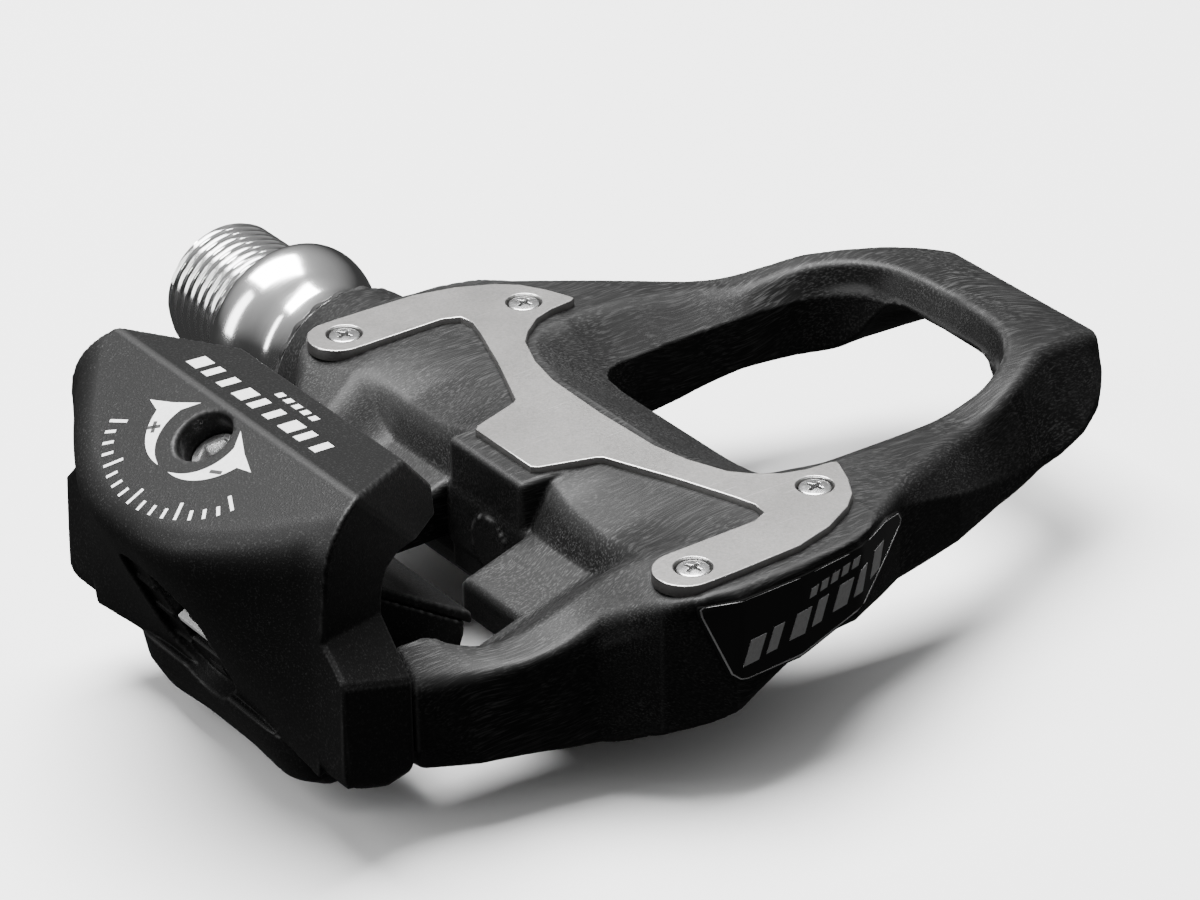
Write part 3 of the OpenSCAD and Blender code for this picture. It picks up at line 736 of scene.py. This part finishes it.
def make_prints(white, black):
    """Generic marks on the claw: turning arrows with plus and minus, a scale of ticks and slanted bars."""
    v_axis = np.array([0.0, 1.0, 0.0])
    top = dict(origin=BOLT_ORIGIN, along_a=BOLT_X, along_b=v_axis, out=BOLT_Z)
    print_on("tension_arrows", [crescent(1), crescent(-1)], lift=0.03, material=white, body="claw",
             slot_name="binding_resin", **top)
    plus = [bar_shape(-2.0, 5.35, 1.3, 0.36, 0.7), bar_shape(-2.0, 5.35, 0.36, 1.3, 0.7)]
    minus = [bar_shape(-2.0, -4.85, 0.36, 1.3, 0.4)]
    print_on("tension_signs", plus + minus, lift=0.06, material=black, body="claw",
             slot_name="binding_resin", **top)
    ticks = []
    for i in range(17):
        turn = math.radians(-62 + 124 * i / 16)
        size = 1.9 if i % 4 == 0 else 1.1
        r = 8.6 - size / 2 + 0.95
        ticks.append(bar_shape(0.6 - r * math.cos(turn), r * math.sin(turn) * 1.22, size, 0.34, -turn))
    print_on("tension_scale", ticks, lift=0.03, material=white, body="claw", slot_name="binding_resin", **top)
    lip_a = np.array([8.9, 0, -2.3]) / math.hypot(8.9, 2.3)
    lip_out = np.array([2.3, 0, 8.9]) / math.hypot(8.9, 2.3)
    bars = []
    for i in range(9):
        b, wide = 10.8 - 2.5 * i, 1.7 if i % 3 == 0 else 1.05
        bars.append([(1.9, b), (4.5, b + 0.9), (4.5, b + 0.9 - wide), (1.9, b - wide)])
    for i in range(5):
        b = 2.4 - 1.35 * i
        bars.append([(5.9, b), (6.9, b + 0.3), (6.9, b - 0.5), (5.9, b - 0.8)])
    print_on("lip_bars", bars, origin=np.array([-37.5, 0, 25.5]), along_a=lip_a, along_b=v_axis, out=lip_out,
             lift=0.03, material=white, body="claw", slot_name="binding_resin")


def make_pointer(material):
    """Light bar on the tension nut, seen through the slot of the claw's window."""
    def field(x, v, z):
        across, up = in_bolt_frame(x, z)
        bar = np.maximum(np.abs(across + 9.9) - 0.5, np.maximum(np.abs(up + 15.6) - 0.42, np.abs(v) - 2.3))
        stem = np.maximum(np.abs(across + 7.2) - 2.4, np.maximum(np.abs(up + 15.6) - 0.3, np.abs(v) - 1.2))
        return np.minimum(bar, stem)
    pointer = solid("tension_pointer", field, (-46, -2.6, 2), (-36, 2.6, 12), 0.15, material)
    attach(pointer, "tension_nut")


# ---------------------------------------------------------------- spindle and bearings' outer parts

PITCH, BOLT_PITCH = 1.27, 0.8
CREST, ROOT = 7.144, 6.46


def make_spindle(material):
    """Threaded end with its helix, bright collar, and the shaft inside the platform."""
    turn = np.arange(144) * 2 * math.pi / 144
    socket = hexagon(4.0, turn)
    rows = [(0.0, 2.9), (socket * 0.5, 3.0), (socket, 3.2), (socket, 11.8), (socket + 0.35, 12.2),
            (6.0, 12.2)]
    for y in np.arange(12.2, 0.0, -PITCH / 14):
        phase = (y / PITCH - turn / (2 * math.pi)) % 1.0
        tooth = np.clip((np.abs(phase - 0.5) * 2 - 0.16) / 0.62, 0, 1)
        depth = (CREST - ROOT) * np.clip((y - 0.25) / 0.5, 0, 1)
        flank = CREST - depth * (1 - smooth(tooth) * 0.45 - tooth * 0.55)
        rows.append((np.minimum(flank, 6.35 + (12.2 - y) * 1.1), y))
    collar = curve([[9.08, -0.05], [9.3, -0.2], [9.4, -0.5], [9.43, -1.1], [9.25, -2.1], [8.85, -3.2],
                    [8.2, -4.3], [7.45, -5.3], [6.9, -6.3], [6.72, -7.4], [6.7, -9]], 4)
    rows += [(ROOT + 0.5, 0.02), (7.6, -0.04), (8.6, -0.04), (8.75, -0.12), (8.8, -0.12), (8.9, -0.02)]
    rows += [(r, y) for r, y in collar]
    rows += [(6.7, -20.2), (5.9, -20.2), (5.9, -20.76), (4.78, -20.76), (4.78, -33.5), (4.97, -33.9),
             (4.97, -48), (4.2, -48.6), (4.2, -58), (3, -58.6)]
    rows += [(3 - 0.25 * (i % 2), -60 - 0.5 * i) for i in range(29)] + [(2.7, -74.8), (0, -74.8)]
    spindle = lathe("spindle_turned", rows, material, segments=144, smooth_angle=32)
    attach(spindle, "spindle")
    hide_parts("spindle")


def make_sleeve(composite, rubber):
    """Flanged end sleeve of the bearing housing, with spanner splines, and its lipped seal."""
    turn = np.arange(120) * 2 * math.pi / 120
    spline = 8.75 + 0.15 * np.clip(np.sin(turn * 20) * 2, -1, 1)
    rows = [(6.85, -19.6), (7.95, -19.6), (7.95, -11.55), (spline, -11.5), (spline, -10.95), (8.45, -10.62),
            (7.7, -10.6), (7.65, -11.1), (7.6, -14.1), (6.85, -14.1), (6.85, -19.6)]
    sleeve = lathe("end_sleeve", rows, composite, segments=120, smooth_angle=30)
    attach(sleeve, "pedal_body")
    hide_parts("lock_sleeve")
    lip = [(6.78, -14), (7.58, -14), (7.58, -11.4), (7.3, -11.15), (7.0, -11.3), (6.78, -11.9), (6.78, -14)]
    seal = lathe("lip_seal", lip, rubber, smooth_angle=40)
    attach(seal, "pedal_body")
    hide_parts("dust_seal")


def make_spring(name, node, v_low, material):
    """Torsion spring of round wire: one leg up behind the binding's wall, one forward under the platform."""
    wire, coil, sides = 0.9, 3.15, 16
    low, high = v_low + 1, v_low + 5.4
    turns = np.radians(np.arange(180, 991, 9))
    rise = (turns - turns[0]) / (turns[-1] - turns[0])
    path = [[PIVOT[0] - coil, low, PIVOT[1] + h] for h in (2.8, 1.9, 1.0)]
    path += [[PIVOT[0] + coil * math.cos(t), low + 4.4 * s, PIVOT[1] + coil * math.sin(t)]
             for t, s in zip(turns, rise)]
    path += [[PIVOT[0] + h, high, PIVOT[1] - coil] for h in (1, 3, 5, 7, 8.9)]
    path = np.array(path)
    tangent = unit(np.gradient(path, axis=0))
    side = unit(np.cross(tangent, [0, 1, 0]))
    up = np.cross(side, tangent)
    ring = np.arange(sides) * 2 * math.pi / sides
    points = np.vstack([p + wire * (np.cos(ring)[:, None] * s + np.sin(ring)[:, None] * u)
                        for p, s, u in zip(path, side, up)])
    j = np.arange(sides)
    faces = tube_faces(len(path), sides)
    faces += [j[::-1].tolist(), (j + sides * (len(path) - 1)).tolist()]
    spring = make_object(name, points, faces, material, smooth_angle=50)
    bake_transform(spring)
    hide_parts(node)


def make_tension_bolt(material):
    """Socket screw with a knurled head and a helical thread."""
    turn = np.arange(96) * 2 * math.pi / 96
    socket = hexagon(1.5, turn)
    rows = [(0.0, -4.5), (socket, -4.4), (socket, -2.55), (socket + 0.15, -2.4), (2.25, -2.4), (2.58, -2.7)]
    rows += [(2.58 - 0.05 * (i % 2), -2.9 - 0.2 * i) for i in range(12)]
    rows += [(2.55, -5.38), (2.0, -5.4), (2.0, -8)]
    for h in np.arange(-8.0, -23.6, -0.08):
        phase = (-h / BOLT_PITCH + turn / (2 * math.pi)) % 1.0
        rows.append((2.0 - 0.32 * (1 - np.abs(phase - 0.5) * 2), h))
    rows += [(1.6, -24.0), (0.0, -24.0)]
    bolt = lathe("tension_screw", rows, material, where=BOLT_FRAME, smooth_angle=32)
    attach(bolt, "tension_bolt")
    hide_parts("tension_bolt")


def make_pin(material):
    """Pivot pin with turned ends."""
    where = ((PIVOT[0], 0, PIVOT[1]), (1, 0, 0), (0, 0, 1), (0, 1, 0))
    rows = [(0.0, -17.4), (1.35, -17.4), (1.72, -17.0), (1.72, 19.6), (1.4, 19.95), (0.7, 19.95), (0.5, 19.6),
            (0.0, 19.6)]
    pin = lathe("pivot_rod", rows, material, where=where, segments=48)
    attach(pin, "pedal_body")
    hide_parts("pivot_pin")


# ---------------------------------------------------------------- materials

class Graph:
    """Short way to write a material's nodes."""

    def __init__(self, name):
        self.material = bpy.data.materials.new(name)
        self.material.use_nodes = True
        self.tree = self.material.node_tree
        self.shader = self.tree.nodes["Principled BSDF"]
        self.place = self.node("ShaderNodeTexCoord").outputs["Object"]

    def node(self, kind, inputs=None, **settings):
        n = self.tree.nodes.new(kind)
        for key, value in settings.items():
            setattr(n, key, value)
        for key, value in (inputs or {}).items():
            if isinstance(value, bpy.types.NodeSocket):
                self.tree.links.new(value, n.inputs[key])
            else:
                n.inputs[key].default_value = value
        return n

    def noise(self, scale, detail=2.0, rough=0.5, vector=None, distortion=0.0):
        inputs = {"Vector": vector or self.place, "Scale": scale, "Detail": detail, "Roughness": rough,
                  "Distortion": distortion}
        return self.node("ShaderNodeTexNoise", inputs).outputs["Fac"]

    def stretched(self, scale, turn, vector=None):
        inputs = {"Vector": vector or self.place, "Rotation": turn, "Scale": scale}
        return self.node("ShaderNodeMapping", inputs).outputs["Vector"]

    def bent(self, amount, scale):
        """The object's coordinates pushed about by a slow noise."""
        push = self.node("ShaderNodeTexNoise", {"Vector": self.place, "Scale": scale, "Detail": 1.0})
        moved = self.node("ShaderNodeVectorMath", {0: push.outputs["Color"], 1: (0.5, 0.5, 0.5)},
                          operation="SUBTRACT")
        sized = self.node("ShaderNodeVectorMath", {0: moved.outputs[0], 3: amount}, operation="SCALE")
        return self.node("ShaderNodeVectorMath", {0: self.place, 1: sized.outputs[0]}).outputs[0]

    def spread(self, value, low, high, to_low=0.0, to_high=1.0):
        inputs = {"Value": value, "From Min": low, "From Max": high, "To Min": to_low, "To Max": to_high}
        return self.node("ShaderNodeMapRange", inputs).outputs["Result"]

    def maths(self, operation, a, b):
        return self.node("ShaderNodeMath", {0: a, 1: b}, operation=operation).outputs[0]

    def blend(self, share, a, b):
        n = self.node("ShaderNodeMix", data_type="RGBA")
        for index, value in ((0, share), (6, a), (7, b)):
            if isinstance(value, bpy.types.NodeSocket):
                self.tree.links.new(value, n.inputs[index])
            else:
                n.inputs[index].default_value = value
        return n.outputs[2]

    # Reads the per-point edge mark that paints edge highlights into the colour.
    def painted_edge_highlight(self):
        return self.node("ShaderNodeAttribute", attribute_name="painted_edge_highlight").outputs["Fac"]

    def bump(self, height, strength, distance):
        n = self.node("ShaderNodeBump", {"Height": height, "Strength": strength, "Distance": distance})
        self.tree.links.new(n.outputs["Normal"], self.shader.inputs["Normal"])

    def set(self, **values):
        for key, value in values.items():
            socket = self.shader.inputs[key.replace("_", " ")]
            if isinstance(value, bpy.types.NodeSocket):
                self.tree.links.new(value, socket)
            else:
                socket.default_value = value
        return self.material


def grey(level, warm=0.0):
    return (level * (1 + warm), level, level * (1 - warm), 1.0)


def carbon_material():
    """Moulded chopped-fibre composite: swirling fine hairlines in a dark semi-matte resin."""
    g = Graph("chopped_carbon")
    swirl = g.bent(0.007, 60.0)
    lines = []
    for turn, size in (((0.1, 0.2, 0.35), (300, 6800, 6800)), ((0.3, -0.1, -0.8), (340, 7600, 7600)),
                       ((-0.2, 0.5, 1.7), (320, 6200, 6200))):
        fibre = g.noise(1.0, 2.0, 0.6, g.stretched(size, turn, swirl))
        lines.append(g.spread(fibre, 0.50, 0.68))
    patches = g.spread(g.noise(190.0, 1.0, 0.5, distortion=0.6), 0.44, 0.56)
    other = g.spread(g.noise(120.0, 1.0, 0.5, distortion=0.9), 0.42, 0.58)
    mixed = g.blend(patches, lines[0], lines[1])
    mixed = g.blend(other, mixed, lines[2])
    cloud = g.spread(g.noise(90.0, 3.0, 0.6), 0.3, 0.7, 0.35, 1.0)
    amount = g.maths("MULTIPLY", mixed, cloud)
    colour = g.blend(amount, grey(0.006), grey(0.055))
    # Convex edges painted lighter: a painted edge highlight.
    colour = g.blend(g.maths("MULTIPLY", g.painted_edge_highlight(), 0.5), colour, grey(0.12))
    rough = g.spread(amount, 0.0, 1.0, 0.46, 0.34)
    g.bump(g.maths("ADD", mixed, g.maths("MULTIPLY", g.noise(2600.0, 2.0), 0.6)), 0.12, 0.0001)
    return g.set(Base_Color=colour, Roughness=rough, Specular_IOR_Level=0.19)


def resin_material(name, base=0.005, sparkle=0.035, rough=0.44):
    """Moulded resin with a fine sparkling grain and edges painted lighter as an edge highlight."""
    g = Graph(name)
    grain = g.noise(5200.0, 2.0, 0.6)
    points = g.spread(grain, 0.56, 0.74)
    slow = g.spread(g.noise(160.0, 3.0, 0.6), 0.3, 0.7, 0.5, 1.0)
    colour = g.blend(g.maths("MULTIPLY", points, slow), grey(base), grey(base + sparkle))
    # Convex edges painted lighter: a painted edge highlight.
    colour = g.blend(g.maths("MULTIPLY", g.painted_edge_highlight(), 0.4), colour, grey(0.11))
    g.bump(grain, 0.22, 0.0001)
    return g.set(Base_Color=colour, Roughness=g.spread(grain, 0.3, 0.7, rough + 0.08, rough - 0.06),
                 Specular_IOR_Level=0.2)


def steel_material(name, level, rough, grain, warm=0.0, lines=(900, 9000, 900), bump=0.05):
    """Steel with turning or polishing lines across the given directions."""
    g = Graph(name)
    marks = g.noise(1.0, 3.0, 0.6, g.stretched(lines, (0, 0, 0)))
    smear = g.noise(220.0, 3.0, 0.6)
    amount = g.spread(g.maths("ADD", marks, smear), 0.7, 1.3, rough - grain, rough + grain)
    colour = g.blend(g.spread(smear, 0.3, 0.7), grey(level * 0.93, warm), grey(level, warm))
    g.bump(marks, bump, 0.00004)
    return g.set(Base_Color=colour, Metallic=1.0, Roughness=amount)


def blasted_material():
    """Bead-blasted stainless plate with a painted highlight on its edges and a few faint scuffs."""
    g = Graph("blasted_stainless")
    grain = g.noise(4200.0, 3.0, 0.7)
    slow = g.noise(140.0, 3.0, 0.6)
    scuff = g.spread(g.noise(1.0, 2.0, 0.5, g.stretched((180, 6500, 3000), (0, 0, 0.6))), 0.68, 0.78)
    # Painted edge highlight from the edge mark.
    edge = g.spread(g.painted_edge_highlight(), 0.15, 0.75)
    colour = g.blend(g.spread(grain, 0.35, 0.65), grey(0.20, 0.02), grey(0.26, 0.025))
    # Lighter where the painted edge highlight falls or where the real scuffs are.
    colour = g.blend(g.maths("MAXIMUM", edge, g.maths("MULTIPLY", scuff, 0.4)), colour, grey(0.6, 0.01))
    rough = g.maths("SUBTRACT", g.spread(slow, 0.3, 0.7, 0.43, 0.5), g.maths("MULTIPLY", edge, 0.18))
    g.bump(grain, 0.35, 0.00005)
    return g.set(Base_Color=colour, Metallic=1.0, Roughness=rough)


def gloss_material():
    """Black glossy badge with faint wiping marks."""
    g = Graph("badge_gloss")
    wipe = g.noise(1.0, 3.0, 0.6, g.stretched((300, 2600, 2600), (0, 0.3, 0.2)))
    # Edges painted brighter from the edge mark as a painted edge highlight, where a mesh carries that mark.
    colour = g.blend(g.spread(g.painted_edge_highlight(), 0.1, 0.5), grey(0.006), grey(0.3))
    g.bump(g.noise(90.0, 1.0), 0.03, 0.0002)
    return g.set(Base_Color=colour, Roughness=g.spread(wipe, 0.3, 0.7, 0.07, 0.16), Specular_IOR_Level=0.5)


def print_material(name, level, rough, metallic=0.0):
    """Thin screen print: slightly uneven ink."""
    g = Graph(name)
    ink = g.noise(2600.0, 3.0, 0.7)
    colour = g.blend(g.spread(ink, 0.35, 0.7), grey(level), grey(level * 0.82))
    g.bump(ink, 0.08, 0.00003)
    return g.set(Base_Color=colour, Roughness=g.spread(ink, 0.3, 0.7, rough - 0.05, rough + 0.1),
                 Metallic=metallic)


def rubber_material():
    g = Graph("seal_rubber")
    grain = g.noise(3000.0, 3.0, 0.6)
    g.bump(grain, 0.2, 0.00008)
    colour = g.blend(grain, grey(0.008), grey(0.022))
    return g.set(Base_Color=colour, Roughness=g.spread(grain, 0.3, 0.7, 0.62, 0.78))


def floor_material():
    """Pale matt studio floor, very slightly mottled."""
    g = Graph("studio_floor")
    colour = g.blend(g.noise(6.0, 2.0), grey(0.92), grey(0.95))
    return g.set(Base_Color=colour, Roughness=0.9, Specular_IOR_Level=0.1)


# ---------------------------------------------------------------- studio

def make_floor(material):
    """A flat pale floor just under the pedal."""
    reach, cells, height = 3000.0, 32, -9.75
    line = np.linspace(-reach, reach, cells + 1)
    points = [[x, y, height] for x in line for y in line]
    corners = [i * (cells + 1) + j for i in range(cells) for j in range(cells)]
    faces = [[a, a + cells + 1, a + cells + 2, a + 1] for a in corners]
    floor = make_object("studio_floor", np.array(points), faces, material)
    return floor


def soft_light(name, position, target, size, power, length):
    """A rectangular lamp that points at the target."""
    data = bpy.data.lights.new(name, "AREA")
    data.shape = "RECTANGLE"
    data.size, data.size_y = size, length
    data.energy = power
    light = bpy.data.objects.new(name, data)
    light.location = position
    light.rotation_euler = (Vector(target) - Vector(position)).to_track_quat("-Z", "Y").to_euler()
    bpy.context.scene.collection.objects.link(light)


def make_world():
    """A plain sky that grows brighter upwards."""
    world = bpy.data.worlds.new("studio")
    bpy.context.scene.world = world
    world.use_nodes = True
    nodes, links = world.node_tree.nodes, world.node_tree.links
    place = nodes.new("ShaderNodeTexCoord")
    split = nodes.new("ShaderNodeSeparateXYZ")
    ramp = nodes.new("ShaderNodeMapRange")
    ramp.inputs["From Min"].default_value, ramp.inputs["From Max"].default_value = 0.05, 0.9
    ramp.inputs["To Min"].default_value, ramp.inputs["To Max"].default_value = 0.05, 0.6
    links.new(place.outputs["Generated"], split.inputs[0])
    links.new(split.outputs["Z"], ramp.inputs["Value"])
    links.new(ramp.outputs["Result"], nodes["Background"].inputs["Strength"])
    nodes["Background"].inputs["Color"].default_value = (1, 1, 1, 1)


def make_camera():
    """The photograph's viewing angle."""
    data = bpy.data.cameras.new("camera")
    data.sensor_fit = "HORIZONTAL"
    data.sensor_width = 36.0
    data.lens = 150.5
    data.clip_start, data.clip_end = 0.01, 20.0
    camera = bpy.data.objects.new("camera", data)
    right, up = Vector((0.8116, -0.5840, -0.0167)), Vector((0.2933, 0.3826, 0.8761))
    back = right.cross(up)
    turn = Matrix((right, up, back)).transposed().to_4x4()
    camera.matrix_world = Matrix.Translation((-0.23248, -0.38339, 0.23143)) @ turn
    bpy.context.scene.collection.objects.link(camera)
    bpy.context.scene.camera = camera


def dress_cad_nodes(finishes):
    """Every CAD piece that stays in view takes its slot's material."""
    for name, material in finishes.items():
        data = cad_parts[name].data
        if not data.materials:
            data.materials.append(material)
        for i in range(len(data.materials)):
            data.materials[i] = material


carbon = carbon_material()
binding = resin_material("binding_resin")
polished = steel_material("polished_steel", 0.86, 0.16, 0.025, lines=(500, 7000, 500), bump=0.012)
bearing = steel_material("bearing_steel", 0.7, 0.16, 0.05)
screw = steel_material("screw_steel", 0.66, 0.24, 0.06, lines=(3000, 3000, 800), bump=0.1)
spring = steel_material("spring_steel", 0.35, 0.33, 0.08, lines=(4000, 800, 4000))
brass = steel_material("brass_cage", 0.5, 0.3, 0.08, warm=0.35)
stainless = blasted_material()
gloss = gloss_material()
rubber = rubber_material()
white_print = print_material("white_print", 0.78, 0.5)
black_print = print_material("black_print", 0.012, 0.5)
silver_print = print_material("silver_print", 0.62, 0.36, 0.6)
black_resin = resin_material("black_resin", 0.02, 0.03, 0.5)

make_body(carbon)
make_plate(stainless)
make_screws(screw)
make_label(gloss, silver_print)
make_claw(binding)
make_cover(binding)
make_prints(white_print, black_print)
make_pointer(white_print)
make_spindle(polished)
make_sleeve(black_resin, rubber)
make_spring("spring_left", "left_spring", -9.8, spring)
make_spring("spring_right", "right_spring", 3.4, spring)
make_tension_bolt(screw)
make_pin(bearing)
dress_cad_nodes({
    "outboard_cone": bearing, "tab_washer": screw, "spindle_locknut": screw, "inboard_balls": bearing,
    "outboard_balls": bearing, "needle_rollers": bearing, "needle_cage": brass, "bearing_tube": bearing,
    "inboard_cup": bearing, "outboard_cup": bearing, "needle_shell": bearing, "tension_nut": black_resin})

floor = make_floor(floor_material())
floor.visible_glossy = False
floor.visible_diffuse = False
make_world()
make_camera()
soft_light("top_softbox", (0.02, 0.12, 0.66), (0, -0.05, 0), 0.6, 23.0, length=0.5)
soft_light("left_strip", (-0.55, 0.1, 0.32), (0, -0.05, 0), 0.18, 2.6, length=0.6)
